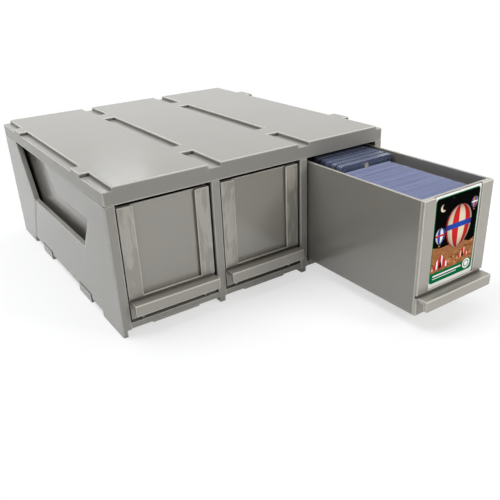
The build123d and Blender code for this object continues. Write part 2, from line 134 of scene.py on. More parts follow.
class LabelSettings(bpy.types.PropertyGroup):
    side_margin: FloatProperty(
        name="Side margin", description="White border at the sides of the printed picture",
        default=2.2 * MM, min=0, unit="LENGTH")
    head_margin: FloatProperty(
        name="Head margin", description="White border above the picture",
        default=1.9 * MM, min=0, unit="LENGTH")
    foot_margin: FloatProperty(
        name="Foot margin", description="White border under the picture",
        default=4.2 * MM, min=0, unit="LENGTH")
    border: FloatProperty(
        name="Border line", description="Width of the green line inside the margin",
        default=0.9 * MM, min=0, unit="LENGTH")
    corner: FloatProperty(
        name="Picture corner", description="Radius of the picture's corners",
        default=3.6 * MM, min=0, unit="LENGTH")
    band: FloatProperty(
        name="Foot band", description="Height of the green band at the picture's foot",
        default=10.5 * MM, min=0, unit="LENGTH")
    green: FloatVectorProperty(
        name="Green", description="Line and band", default=(0.004, 0.16, 0.052),
        size=3, min=0, max=1, subtype="COLOR")
    night: FloatVectorProperty(
        name="Dark ground", description="Upper part of the picture",
        default=(0.003, 0.003, 0.003), size=3, min=0, max=1, subtype="COLOR")
    sand: FloatVectorProperty(
        name="Sand", description="Lower part of the picture", default=(0.60, 0.25, 0.10),
        size=3, min=0, max=1, subtype="COLOR")
    red: FloatVectorProperty(
        name="Red", description="Large accent", default=(0.60, 0.025, 0.025),
        size=3, min=0, max=1, subtype="COLOR")
    blue: FloatVectorProperty(
        name="Blue", description="Small accent", default=(0.02, 0.07, 0.40),
        size=3, min=0, max=1, subtype="COLOR")
    cream: FloatVectorProperty(
        name="Cream", description="Pale stripes", default=(0.80, 0.68, 0.50),
        size=3, min=0, max=1, subtype="COLOR")


class SleeveSettings(bpy.types.PropertyGroup):
    tint: FloatVectorProperty(
        name="Tint", description="Colour of the rigid vinyl", default=(0.50, 0.55, 0.78),
        size=3, min=0, max=1, subtype="COLOR")
    deep_tint: FloatVectorProperty(
        name="Depth tint", description="Colour where the vinyl is seen deep",
        default=(0.27, 0.30, 0.46), size=3, min=0, max=1, subtype="COLOR")
    wall: FloatProperty(
        name="Sheet", description="Thickness of each of a sleeve's two sheets",
        default=0.6 * MM, min=0.1 * MM, unit="LENGTH")
    weld: FloatProperty(
        name="Weld", description="Width of the welded strip along the sides and foot",
        default=3.6 * MM, min=0, unit="LENGTH")
    mouth: FloatProperty(
        name="Mouth", description="Depth from a sleeve's mouth to what stands in it",
        default=0.4 * MM, min=0, unit="LENGTH")
    lift: FloatProperty(
        name="Raggedness", description="How far a sleeve stands above the lowest one",
        default=0.2 * MM, min=0, unit="LENGTH")


class HolderSettings(bpy.types.PropertyGroup):
    tint: FloatVectorProperty(
        name="Tint", description="Colour of the clear halves", default=(0.10, 0.12, 0.20),
        size=3, min=0, max=1, subtype="COLOR")
    # Painted highlight: the colour along the holders' edges.
    edge_highlight_tint: FloatVectorProperty(
        name="Edge tint", description="Colour along their polished edges",
        default=(0.36, 0.41, 0.56), size=3, min=0, max=1, subtype="COLOR")
    rim: FloatProperty(
        name="Rim", description="Width of the raised rim round each half",
        default=4.2 * MM, min=0, unit="LENGTH")
    step: FloatProperty(
        name="Step", description="Depth of the face inside that rim",
        default=0.7 * MM, min=0, unit="LENGTH")
    corner: FloatProperty(
        name="Corner", description="Radius of a half's corners", default=3.0 * MM, min=0,
        unit="LENGTH")
    metal: FloatVectorProperty(
        name="Magnet", description="Colour of the plated discs", default=(0.92, 0.80, 0.52),
        size=3, min=0, max=1, subtype="COLOR")


class StageSettings(bpy.types.PropertyGroup):
    camera_place: FloatVectorProperty(
        name="Camera place", description="Where the camera stands",
        default=(-0.316606, -0.546442, 0.307575), size=3, subtype="TRANSLATION", unit="LENGTH")
    camera_turn: FloatVectorProperty(
        name="Camera turn", description="How the camera is turned",
        default=tuple(math.radians(a) for a in (64.771, 2.306, -34.027)), size=3,
        subtype="EULER", unit="ROTATION")
    focal_pixels: FloatProperty(
        name="Focal length", description="Focal length in pixels of a 500 pixel wide picture",
        default=595.3, min=1)
    floor_colour: FloatVectorProperty(
        name="Floor", description="Colour of the floor", default=(0.90, 0.90, 0.90), size=3,
        min=0, max=1, subtype="COLOR")
    floor_glow: FloatProperty(
        name="Floor glow", description="How much of the floor's white is its own",
        default=0.62, min=0, max=1, subtype="FACTOR")
    ambient: FloatProperty(
        name="Ambient", description="Even light from all round", default=0.18, min=0)
    left_power: FloatProperty(
        name="Left", description="Power of the large lamp high on the left", default=15.0,
        min=0, unit="POWER")
    top_power: FloatProperty(
        name="Top", description="Power of the lamp overhead", default=8.0, min=0, unit="POWER")
    right_power: FloatProperty(
        name="Right", description="Power of the large lamp on the right", default=10.0,
        min=0, unit="POWER")
    front_power: FloatProperty(
        name="Front", description="Power of the lamp high before the drawers", default=2.5,
        min=0, unit="POWER")
    glint_power: FloatProperty(
        name="Glint", description="Power of the small lamp behind, seen in the lid's front",
        default=0.2, min=0, unit="POWER")
    pull_power: FloatProperty(
        name="Pull", description="Power of the small lamp on the open drawer's front",
        default=3.4, min=0, unit="POWER")


SETTINGS = {
    "card_box_plastic": PlasticSettings,
    "card_box_label": LabelSettings,
    "card_box_sleeves": SleeveSettings,
    "card_box_holders": HolderSettings,
    "card_box_stage": StageSettings,
}


# ---------------------------------------------------------------- shader expressions
class Value:
    """A node's output that takes part in Python arithmetic, one Math node a step."""

    def __init__(self, nodes, socket):
        self.nodes = nodes
        self.socket = socket

    def math(self, operation, *values, clamp=False):
        settings = {"operation": operation, "use_clamp": clamp}
        return self.nodes.add("ShaderNodeMath", settings, dict(enumerate(values)))

    def __add__(self, other):
        return self.math("ADD", self, other)

    def __radd__(self, other):
        return self.math("ADD", other, self)

    def __sub__(self, other):
        return self.math("SUBTRACT", self, other)

    def __rsub__(self, other):
        return self.math("SUBTRACT", other, self)

    def __mul__(self, other):
        return self.math("MULTIPLY", self, other)

    def __rmul__(self, other):
        return self.math("MULTIPLY", other, self)

    def __truediv__(self, other):
        return self.math("DIVIDE", self, other)

    def __pow__(self, other):
        return self.math("POWER", self, other)

    def __abs__(self):
        return self.math("ABSOLUTE", self)

    def least(self, other):
        return self.math("MINIMUM", self, other)

    def most(self, other):
        return self.math("MAXIMUM", self, other)

    def clamped(self):
        return self.math("ADD", self, 0.0, clamp=True)

    def sine(self):
        return self.math("SINE", self)

    def arcsine(self):
        return self.math("ARCSINE", self)

    def __neg__(self):
        return self.math("MULTIPLY", self, -1.0)


class Nodes:
    """The node tree of one material or world."""

    def __init__(self, owner):
        owner.use_nodes = True
        self.tree = owner.node_tree
        self.tree.nodes.clear()

    def add(self, kind, settings=None, sockets=None, out=0):
        """Adds a node, sets it up, fills its sockets with values or links, returns one output."""
        node = self.tree.nodes.new(kind)
        for name, value in (settings or {}).items():
            setattr(node, name, value)
        for key, value in (sockets or {}).items():
            if isinstance(value, Value):
                self.tree.links.new(value.socket, node.inputs[key])
            else:
                node.inputs[key].default_value = value
        return Value(self, node.outputs[out]) if node.outputs else None

    def place(self):
        return self.add("ShaderNodeTexCoord", out="Object")

    def axes(self, vector):
        return [self.add("ShaderNodeSeparateXYZ", None, {0: vector}, axis) for axis in range(3)]

    def stretched(self, vector, scale):
        return self.add("ShaderNodeMapping", None, {"Vector": vector, "Scale": scale})

    def noise(self, vector, scale, detail=2.0, distortion=0.0):
        sockets = {"Vector": vector, "Scale": scale, "Detail": detail, "Distortion": distortion}
        return self.add("ShaderNodeTexNoise", None, sockets)

    def mix(self, factor, first, second):
        """Mixes two colours; numbers in a tuple are a colour."""
        sockets = {0: factor}
        for key, colour in ((6, first), (7, second)):
            sockets[key] = colour if isinstance(colour, Value) else (*colour, 1.0)
        return self.add("ShaderNodeMix", {"data_type": "RGBA"}, sockets, 2)

    def corners(self, radius, samples):
        """The normal rounded over the sharp edges, the flat normal, and how far they part."""
        rounded = self.add("ShaderNodeBevel", {"samples": samples}, {"Radius": radius})
        flat = self.add("ShaderNodeNewGeometry", out="True Normal")
        facing = self.add("ShaderNodeVectorMath", {"operation": "DOT_PRODUCT"},
                          {0: rounded, 1: flat}, "Value")
        return rounded, flat, 1.0 - facing

    def bump(self, height, distance, normal=None):
        sockets = {"Height": height, "Distance": distance}
        if normal is not None:
            sockets["Normal"] = normal
        return self.add("ShaderNodeBump", None, sockets)

    def surface(self, shader):
        self.add("ShaderNodeOutputMaterial", None, {"Surface": shader})


def new_material(name):
    material = bpy.data.materials.new(name)
    return material, Nodes(material)


def dress(obj, material):
    """Gives a piece one material."""
    obj.data.materials.clear()
    obj.data.materials.append(material)


# ---------------------------------------------------------------- modelling helpers
def only(obj):
    """Selects one object and nothing else, and makes it active."""
    bpy.ops.object.select_all(action="DESELECT")
    obj.select_set(True)
    bpy.context.view_layer.objects.active = obj


def block_between(name, low, high):
    """A box between two corners, to be shaped further, its place in its mesh."""
    bpy.ops.object.select_all(action="DESELECT")
    low, high = Vector(low), Vector(high)
    bpy.ops.mesh.primitive_cube_add(size=1, location=(low + high) / 2)
    obj = bpy.context.object
    obj.name = name
    obj.data.name = name
    obj.scale = high - low
    bpy.ops.object.transform_apply(location=True, rotation=True, scale=True)
    return obj


def edit(obj, mode):
    """Enters edit mode on one object with nothing selected."""
    only(obj)
    bpy.ops.object.mode_set(mode="EDIT")
    bpy.ops.mesh.select_mode(type=mode)
    bpy.ops.mesh.select_all(action="DESELECT")
    bpy.ops.object.mode_set(mode="OBJECT")


def select_faces(obj, test):
    """Selects the faces whose centre and normal pass a test, in edit mode."""
    edit(obj, "FACE")
    for face in obj.data.polygons:
        face.select = test(face.center, face.normal)
    bpy.ops.object.mode_set(mode="EDIT")


def select_edges(obj, test):
    """Selects the edges whose two ends pass a test, in edit mode."""
    edit(obj, "EDGE")
    points = obj.data.vertices
    for line in obj.data.edges:
        line.select = test(points[line.vertices[0]].co, points[line.vertices[1]].co)
    bpy.ops.object.mode_set(mode="EDIT")


def leave_edit():
    bpy.ops.object.mode_set(mode="OBJECT")


def soften(obj, width, segments=2, angle=30):
    """Rounds the sharp edges of a finished shape and shades it smooth between them."""
    only(obj)
    bevel = obj.modifiers.new("soft_edges", "BEVEL")
    bevel.width = width
    bevel.segments = segments
    bevel.limit_method = "ANGLE"
    bevel.angle_limit = math.radians(angle)
    bpy.ops.object.modifier_apply(modifier=bevel.name)
    bpy.ops.object.shade_smooth_by_angle(angle=math.radians(angle))


def copied(obj, name, matrix):
    """Another piece of the same shape, moved in its mesh."""
    twin = obj.copy()
    twin.data = obj.data.copy()
    twin.name = name
    twin.data.name = name
    twin.data.transform(matrix)
    bpy.context.scene.collection.objects.link(twin)
    return twin


def rows_back(node, step):
    """Y of each row of a node's corners, from front to back. The next row starts at the first
    corner that lies further than a step behind the row before."""
    rows = []
    for y in sorted({round(corner.co.y, 5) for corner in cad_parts[node].data.vertices}):
        if not rows or y > rows[-1] + step:
            rows.append(y)
    return rows


# ---------------------------------------------------------------- moulded plastic
def scaled(colour, tone):
    """A colour made lighter or deeper."""
    return tuple(min(1.0, part * tone) for part in colour)


def painted_swirl_reflections(nodes, tone, place, foot, colour, strength):
    """Painted reflections: swirls of paler and deeper tone above the height foot."""
    blend_height = 3 * MM
    above = ((nodes.axes(place)[2] - foot) / blend_height).clamped() * strength
    swirl = nodes.noise(nodes.stretched(place, (1.6, 1.0, 0.45)), 52.0, 1.0, 1.6)
    swirl = ((swirl - 0.50) * 7.0 + 0.5).clamped()
    tone = nodes.mix((swirl - 0.5).most(0.0) * above, tone, scaled(colour, 1.9))
    return nodes.mix((0.5 - swirl).most(0.0) * above, tone, scaled(colour, 0.35))


def moulded_plastic(name, colour, radius, sheen, settings, painted_wall_shade=1.0, swirl_foot=None,
                    slants_are_faces=False):
    """Semi-gloss moulded plastic: cloudy tone, a painted highlight on outer edges and
    chamfers, painted shade in inner corners, shallow waves and a fine grain. Faces across X
    take a painted wall shade, and swirls of painted reflection show above the foot height
    passed in. Where slants are faces, as round the side window, only chamfers that turn
    towards X get the painted highlight."""
    material, nodes = new_material(name)
    place = nodes.place()
    rounded, flat, parting = nodes.corners(radius, 6)
    # Painted highlight where the surface turns over an outer edge, or is a chamfer; not in inner
    # corners.
    open_space = nodes.add("ShaderNodeAmbientOcclusion", {"samples": 4, "only_local": True},
                           {"Distance": settings.corner_shade_reach}, "AO")
    edge = (parting * 8.0).clamped() * ((open_space - 0.8) * 6.0).clamped()
    slant = [abs(part) for part in nodes.axes(flat)]
    chamfer = ((1.0 - slant[0].most(slant[1]).most(slant[2])) * 10.0).clamped()
    if slants_are_faces:
        chamfer = chamfer * ((slant[0] - 0.1) * 20.0).clamped() * 0.5
    edge = edge.most(chamfer * 0.7)

    # The tone: clouds, painted shade on the walls, painted swirl reflections, painted shade in
    # inner corners, and the painted edge highlight last.
    cloud = nodes.noise(place, 9.0, 3.0)
    tone = nodes.mix(cloud, scaled(colour, 0.94), colour)
    # Painted shade: faces across X are darker.
    if painted_wall_shade < 1.0:
        across = ((slant[0] - 0.7) * 10.0).clamped()
        tone = nodes.mix(across, tone, scaled(colour, painted_wall_shade))
    # Painted reflections: swirls of paler and deeper tone above the foot height.
    if swirl_foot is not None:
        tone = painted_swirl_reflections(nodes, tone, place, swirl_foot, colour, settings.swirl_reflection)
    # Painted shade in inner corners.
    painted_corner_shade = ((1.0 - open_space) * 1.3).clamped()
    tone = nodes.mix(painted_corner_shade, tone, scaled(colour, 0.30))
    # Painted highlight on the outer edges and chamfers.
    tone = nodes.mix(edge * 0.85, tone, scaled(colour, 2.5))

    # The gloss: smears in the roughness, and waves and grain in the normal.
    smear = nodes.noise(nodes.stretched(place, (1.0, 1.0, 0.35)), 60.0, 4.0, 0.6)
    tall = nodes.stretched(place, (1.0, 1.0, 0.45))
    waves = nodes.noise(tall, 1.0 / settings.wave_length, 1.0)
    grain = nodes.noise(place, 1.0 / settings.grain, 2.0)
    bent = nodes.bump(waves, settings.wave_height, rounded)
    bent = nodes.bump(grain, GRAIN_HEIGHT, bent)
    shader = nodes.add("ShaderNodeBsdfPrincipled", None, {
        "Base Color": tone,
        "Roughness": settings.roughness + (smear - 0.5) * 0.08,
        "Normal": bent,
        "IOR": 1.5,
        "Specular IOR Level": sheen,
    })
    nodes.surface(shader)
    return material


class CARDBOX_OT_dress_cabinet(bpy.types.Operator):
    """Finishes the seven moulded panels of the cabinet"""

    bl_idname = "card_box.dress_cabinet"
    bl_label = "Finish cabinet"

    def execute(self, context):
        settings = context.scene.card_box_plastic
        colour = tuple(settings.shell_colour)
        plastic = moulded_plastic("cabinet_plastic", colour, settings.edge_radius,
                                  settings.shell_sheen, settings, slants_are_faces=True)
        for node in CABINET_NODES:
            dress(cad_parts[node], plastic)
        lid = moulded_plastic("lid_plastic", colour, settings.lid_edge_radius,
                              settings.lid_sheen, settings)
        dress(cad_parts["top_panel"], lid)
        return {"FINISHED"}


class CARDBOX_OT_dress_drawers(bpy.types.Operator):
    """Finishes the drawers' trays and label frames"""

    bl_idname = "card_box.dress_drawers"
    bl_label = "Finish drawers"

    def execute(self, context):
        settings = context.scene.card_box_plastic
        colour = tuple(settings.drawer_colour)
        radius, sheen = settings.edge_radius, settings.drawer_sheen
        # Painted light: the frames are lighter than the trays.
        frame_colour = scaled(colour, settings.frame_painted_light)
        window_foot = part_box("label_card")[0].z
        plain = moulded_plastic("frame_plastic", frame_colour, radius, sheen, settings)
        # Frames with painted swirl reflections, for the left and middle drawers.
        swirled = moulded_plastic("swirled_plastic", frame_colour, radius, sheen, settings,
                                  swirl_foot=window_foot)
        tray = moulded_plastic("tray_plastic", colour, radius, sheen, settings,
                               settings.painted_wall_shade)
        for side in DRAWERS:
            dress(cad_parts[f"{side}_label_frame"], plain if side == "right" else swirled)
            dress(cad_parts[f"{side}_drawer_tray"], tray)
        return {"FINISHED"}


# ---------------------------------------------------------------- label card
# Places are across and up from the picture's middle.
EDGE_BLUR = 0.12 * MM       # softness of a painted shape's edge
PAPER_WHITE = (0.88, 0.88, 0.86)
ROPE_BROWN = (0.35, 0.20, 0.10)
BASKET_BROWN = (0.42, 0.20, 0.07)
TENT_DARK = (0.05, 0.01, 0.01)
MOON_CENTRE, MOON_RADIUS = (-19 * MM, 31 * MM), 3.6 * MM
MOON_SHADE_CENTRE, MOON_SHADE_RADIUS = (-17.2 * MM, 32 * MM), 3.2 * MM
DISC_RADIUS = 5.2 * MM
DISC_BORDER = 0.8 * MM
RING_INSET = 2.0 * MM
RING_HALF_WIDTH = 0.45 * MM
FIBRE_HEIGHT = 0.003 * MM


def rounded_rectangle(u, w, half_w, half_h, corner):
    """Signed distance to a rectangle with round corners, below zero inside it."""
    qx = abs(u) - (half_w - corner)
    qz = abs(w) - (half_h - corner)
    outside = (qx.most(0.0) ** 2.0 + qz.most(0.0) ** 2.0) ** 0.5
    return outside + qx.most(qz).least(0.0) - corner


def inside(distance):
    """One inside a shape and zero outside, from its signed distance."""
    return (0.5 - distance / EDGE_BLUR).clamped()


def circle(u, w, centre, radius):
    """Signed distance to a circle."""
    return ((u - centre[0]) ** 2.0 + (w - centre[1]) ** 2.0) ** 0.5 - radius


def painted_balloon(nodes, art, u, w, centre, radius, colours, stripes):
    """Paints a striped hot-air balloon with a belt and its basket."""
    first, second, belt_colour = colours
    u, w = u - centre[0], w - centre[1]
    top = w.most(0.0)
    foot = w.least(0.0) * 0.72
    reach = (u ** 2.0 + top ** 2.0 + foot ** 2.0) ** 0.5
    girth = (radius ** 2 - top ** 2.0 - foot ** 2.0).most((0.1 * radius) ** 2) ** 0.5
    around = (u / girth).most(-1.0).least(1.0).arcsine()
    gores = ((around * stripes).sine() * 5.0 + 0.5).clamped()
    cloth = nodes.mix(gores, first, second)
    belt = inside(abs(w + radius * 0.12) - radius * 0.15)
    cloth = nodes.mix(belt, cloth, belt_colour)
    cloth = nodes.mix(((reach / radius) ** 4.0) * 0.75, cloth, scaled(first, 0.10))
    basket_foot = -radius * 1.72
    basket = rounded_rectangle(u, w - basket_foot, radius * 0.16, radius * 0.12, radius * 0.04)
    rope = abs(abs(u) - radius * 0.14 - (w - basket_foot) * 0.30) - radius * 0.018
    hung = inside(rope) * inside(w) * inside(basket_foot - w)
    art = nodes.mix(hung, art, ROPE_BROWN)
    art = nodes.mix(inside(basket), art, BASKET_BROWN)
    return nodes.mix(inside(reach - radius), art, cloth)


def painted_tent(nodes, art, u, w, foot, height, colour, stripe):
    """Paints a striped tent that stands on the point foot."""
    u, w = u - foot[0], w - foot[1]
    canvas = inside(abs(u) * 1.15 + w - height) * inside(-w)
    bars = ((u * (14.0 / height)).sine() * 4.0 - 1.5).clamped()
    art = nodes.mix(canvas, art, nodes.mix(bars, colour, stripe))
    door = inside(abs(u) * 3.2 + w - height * 0.62) * inside(-w)
    return nodes.mix(door, art, TENT_DARK)


def night_sky(nodes, settings, u, w):
    """Dark sky with a few stars and a crescent moon."""
    cream = tuple(settings.cream)
    speck = nodes.noise(nodes.place(), 520.0, 3.0)
    stars = ((speck - 0.71) * 16.0).clamped() * 0.8
    sky = nodes.mix(stars, tuple(settings.night), cream)
    moon = inside(circle(u, w, MOON_CENTRE, MOON_RADIUS))
    shade = inside(circle(u, w, MOON_SHADE_CENTRE, MOON_SHADE_RADIUS))
    return nodes.mix(moon * (1.0 - shade), sky, cream)


def desert_camp(nodes, settings, u, w):
    """Balloons over two ridges of rough sand, with tents on the near one."""
    sand, red, blue = tuple(settings.sand), tuple(settings.red), tuple(settings.blue)
    cream = tuple(settings.cream)
    grit = nodes.noise(nodes.stretched(nodes.place(), (1.0, 1.0, 2.4)), 210.0, 5.0, 1.2)
    pale_sand = tuple(min(1.0, part * 1.45 + 0.05) for part in sand)
    dark_sand = scaled(sand, 0.16)
    rough_sand = nodes.mix((grit * 3.2 - 1.1).clamped(), dark_sand, sand)
    rough_sand = nodes.mix((grit * 5.0 - 2.9).clamped(), rough_sand, pale_sand)
    far_ridge = w + 8 * MM - (u * 105.0 + 0.6).sine() * 2.2 * MM + u * 0.16
    near_ridge = w + 17 * MM + (u * 88.0 + 1.9).sine() * 2.6 * MM - u * 0.20

    art = night_sky(nodes, settings, u, w)
    art = nodes.mix(inside(far_ridge), art, nodes.mix(grit, dark_sand, sand))
    # Each balloon's centre, radius, two colours and belt, and the rate of its stripes.
    for centre, radius, colours, stripes in (
            ((-20 * MM, 6 * MM), 6.5 * MM, (blue, PAPER_WHITE, red), 5.0),
            ((23.5 * MM, 28 * MM), 4.6 * MM, (sand, blue, PAPER_WHITE), 5.0),
            ((4 * MM, 12 * MM), 17.5 * MM, (red, cream, blue), 6.0)):
        art = painted_balloon(nodes, art, u, w, centre, radius, colours, stripes)
    art = nodes.mix(inside(near_ridge), art, rough_sand)
    art = painted_tent(nodes, art, u, w, (-16 * MM, -28 * MM), 14 * MM, red, PAPER_WHITE)
    return painted_tent(nodes, art, u, w, (15 * MM, -25 * MM), 10 * MM, red, cream)


def foot_band(nodes, art, settings, u, w, picture_w, picture_h):
    """Green band at the picture's foot, with two plain bars and a ringed disc."""
    green = tuple(settings.green)
    band = w + picture_h - settings.band
    bar = rounded_rectangle(u + 5.5 * MM, band + 3.6 * MM, 19.5 * MM, 0.8 * MM, 0.4 * MM)
    thin_bar = rounded_rectangle(u + 8.5 * MM, band + 6.4 * MM, 16.5 * MM, 0.4 * MM, 0.3 * MM)
    spot = circle(u, w, (picture_w - 8 * MM, 7 * MM - picture_h), DISC_RADIUS)
    art = nodes.mix(inside(band), art, green)
    art = nodes.mix((inside(bar) + inside(thin_bar)).clamped(), art, PAPER_WHITE)
    art = nodes.mix(inside(spot - DISC_BORDER), art, green)
    art = nodes.mix(inside(spot), art, PAPER_WHITE)
    return nodes.mix(inside(abs(spot + RING_INSET) - RING_HALF_WIDTH), art, green)


def printed_label(settings, low, high):
    """Coated card with a white margin and a green line round balloons over a desert camp."""
    material, nodes = new_material("printed_label")
    x, _, z = nodes.axes(nodes.place())
    half_w, half_h = (high.x - low.x) / 2, (high.z - low.z) / 2
    picture_w = half_w - settings.side_margin
    picture_h = half_h - (settings.head_margin + settings.foot_margin) / 2
    u = x - (low.x + high.x) / 2
    w = z - ((low.z + high.z) / 2 + (settings.foot_margin - settings.head_margin) / 2)
    outline = rounded_rectangle(u, w, picture_w, picture_h, settings.corner)
    art = desert_camp(nodes, settings, u, w)
    art = foot_band(nodes, art, settings, u, w, picture_w, picture_h)
    face = nodes.mix(inside(outline), PAPER_WHITE, tuple(settings.green))
    face = nodes.mix(inside(outline + settings.border), face, art)
    fibre = nodes.noise(nodes.place(), 1500.0, 2.0)
    shader = nodes.add("ShaderNodeBsdfPrincipled", None, {
        "Base Color": face,
        "Roughness": 0.30 + fibre * 0.08,
        "Specular IOR Level": 0.0,
        "Normal": nodes.bump(fibre, FIBRE_HEIGHT),
    })
    nodes.surface(shader)
    return material


class CARDBOX_OT_print_label(bpy.types.Operator):
    """Prints the card that labels the open drawer"""

    bl_idname = "card_box.print_label"
    bl_label = "Print label card"

    def execute(self, context):
        low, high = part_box("label_card")
        dress(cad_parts["label_card"], printed_label(context.scene.card_box_label, low, high))
        return {"FINISHED"}


# ---------------------------------------------------------------- rigid sleeves
SLEEVE_EDGE = 0.18 * MM     # rounding of a sleeve's edges
# Rows of corners closer than this count as one. It is less than a sleeve's depth, so the rear
# sheet of most sleeves is found instead of their front, and each piece is one sheet deep.
SLEEVE_STEP = 1.5 * MM
SLEEVE_SEED = 11            # of the heights at which they stand


def vinyl(settings):
    """Bluish rigid vinyl that turns deeper in tone from sheet to sheet."""
    material, nodes = new_material("sleeve_vinyl")
    place = nodes.place()
    tint, deep_tint = tuple(settings.tint), tuple(settings.deep_tint)
    sheet = nodes.noise(nodes.stretched(place, (0.6, 420.0, 0.6)), 1.0, 1.0)
    tone = nodes.mix((sheet * 1.1 + 0.05).clamped(), deep_tint, tint)
    scuff = nodes.noise(nodes.stretched(place, (1.0, 1.0, 6.0)), 160.0, 4.0)
    shader = nodes.add("ShaderNodeBsdfPrincipled", None, {
        "Base Color": tone,
        "Roughness": 0.16 + scuff * 0.16,
        "Alpha": 0.90 + sheet * 0.10,
        "IOR": 1.53,
    })
    nodes.surface(shader)
    return material


def sleeve_shape(low, width, height, depth, settings):
    """One sleeve: a flat pocket, open at the top, welded along the sides and foot. Its walls
    cross, and its mouth is shut, where depth is less than two sheets."""
    obj = block_between("sleeve", low, low + Vector((width, depth, height)))
    select_faces(obj, lambda centre, normal: normal.z > 0.9)
    bpy.ops.mesh.inset(thickness=settings.wall)
    centre = low + Vector((width / 2, depth / 2, height))
    inner = (width - 2 * settings.weld) / (width - 2 * settings.wall)
    bpy.ops.transform.resize(value=(inner, 1, 1), center_override=centre)
    bpy.ops.mesh.extrude_region_move(TRANSFORM_OT_translate={"value": (0, 0, -settings.mouth)})
    leave_edit()
    soften(obj, SLEEVE_EDGE, 1)
    return obj


class CARDBOX_OT_stand_sleeves(bpy.types.Operator):
    """Models the rigid sleeves that stand in the open drawer"""

    bl_idname = "card_box.stand_sleeves"
    bl_label = "Stand sleeves"

    def execute(self, context):
        settings = context.scene.card_box_sleeves
        low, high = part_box("rigid_sleeves")
        rows = rows_back("rigid_sleeves", SLEEVE_STEP)
        width, depth, height = high.x - low.x, high.y - rows[-1], high.z - low.z
        first = sleeve_shape(low, width, height - settings.lift, depth, settings)
        dress(first, vinyl(settings))
        heights = random.Random(SLEEVE_SEED)
        for i, y in enumerate(rows):
            shift = Vector((0, y - low.y, heights.uniform(0, settings.lift)))
            piece = copied(first, f"card_sleeve_{i + 1:02d}", Matrix.Translation(shift))
            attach(piece, "right_drawer")
            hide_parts("rigid_sleeves")
        bpy.data.objects.remove(first)
        return {"FINISHED"}


# ---------------------------------------------------------------- magnetic holders
EDGE_HIGHLIGHT_WIDTH = 0.5 * MM    # width of the painted highlight along the edges
HOLDER_EDGE = 0.35 * MM     # rounding of a half's edges
HOLDER_STEP = 5 * MM        # holders stand further apart than this, front to front
PLATING_PALE = (0.95, 0.90, 0.78)
CARD_DARK, CARD_PALE = (0.05, 0.06, 0.10), (0.10, 0.12, 0.20)


def clear_plastic(settings):
    """Polished clear plastic, with a painted highlight along its edges and a painted sheen at
    grazing angles, clearest over the magnets.
    """
    material, nodes = new_material("holder_acrylic")
    place = nodes.place()
    magnet_low, magnet_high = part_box("holder_magnets")
    magnet_centre = ((magnet_low.x + magnet_high.x) / 2, (magnet_low.z + magnet_high.z) / 2)
    magnet_radius = (magnet_high.z - magnet_low.z) / 2
    x, _, z = nodes.axes(place)
    pocket = inside(circle(x, z, magnet_centre, magnet_radius))
    _, _, parting = nodes.corners(EDGE_HIGHLIGHT_WIDTH, 4)
    edge = (parting * 5.0).clamped()
    grazing = nodes.add("ShaderNodeLayerWeight", None, {"Blend": 0.30}, "Facing")
    haze = nodes.noise(place, 55.0, 3.0)
    tint, edge_highlight_tint = tuple(settings.tint), tuple(settings.edge_highlight_tint)
    # Painted highlight along the edges, and painted sheen where the surface is seen at a grazing
    # angle.
    tone = nodes.mix((edge + grazing * 0.15).clamped(), tint, edge_highlight_tint)
    shader = nodes.add("ShaderNodeBsdfPrincipled", None, {
        "Base Color": tone,
        "Roughness": 0.05 + haze * 0.06,
        "Alpha": (0.62 + edge * 0.38 + grazing * 0.2).clamped() * (1.0 - pocket * 0.95),
        "IOR": 1.49,
        "Coat Weight": 0.5,
        "Coat Roughness": 0.03,
    })
    nodes.surface(shader)
    return material


def holder_half(name, low, high, outward, settings):
    """One half of a holder: round corners, a raised rim and a stepped face."""
    obj = block_between(name, low, high)
    select_edges(obj, lambda a, b: abs(a.x - b.x) < MM / 10 and abs(a.z - b.z) < MM / 10)
    bpy.ops.mesh.bevel(offset=settings.corner, segments=4, affect="EDGES")
    leave_edit()
    select_faces(obj, lambda centre, normal: normal.y * outward > 0.9)
    bpy.ops.mesh.inset(thickness=settings.rim)
    bpy.ops.mesh.extrude_region_move(
        TRANSFORM_OT_translate={"value": (0, -outward * settings.step, 0)})
    leave_edit()
    soften(obj, HOLDER_EDGE, 2)
    return obj


class CARDBOX_OT_stand_holders(bpy.types.Operator):
    """Models the clear halves of the magnetic holders, and finishes what is in them"""

    bl_idname = "card_box.stand_holders"
    bl_label = "Stand holders"

    def execute(self, context):
        settings = context.scene.card_box_holders
        acrylic = clear_plastic(settings)
        for node, outward in (("holder_fronts", -1), ("holder_backs", 1)):
            low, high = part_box(node)
            rows = rows_back(node, HOLDER_STEP)
            depth = high.y - rows[-1]
            half_high = Vector((high.x, low.y + depth, high.z))
            first = holder_half(node, low, half_high, outward, settings)
            dress(first, acrylic)
            side = "front" if outward < 0 else "back"
            for i, y in enumerate(rows):
                shift = Matrix.Translation((0, y - low.y, 0))
                piece = copied(first, f"holder_{i + 1}_{side}", shift)
                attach(piece, "right_drawer")
                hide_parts(node)
            bpy.data.objects.remove(first)
        dress(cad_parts["holder_magnets"], plated_metal(settings))
        dress(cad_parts["holder_cards"], plain_card())
        return {"FINISHED"}


def plated_metal(settings):
    """Bright plated metal with a fine cloudy tone."""
    material, nodes = new_material("magnet_plating")
    place = nodes.place()
    haze = nodes.noise(place, 700.0, 3.0)
    tone = nodes.mix(haze * 0.4, tuple(settings.metal), PLATING_PALE)
    shader = nodes.add("ShaderNodeBsdfPrincipled", None, {
        "Base Color": tone,
        "Metallic": 0.5,
        "Roughness": 0.16 + haze * 0.14,
    })
    nodes.surface(shader)
    return material


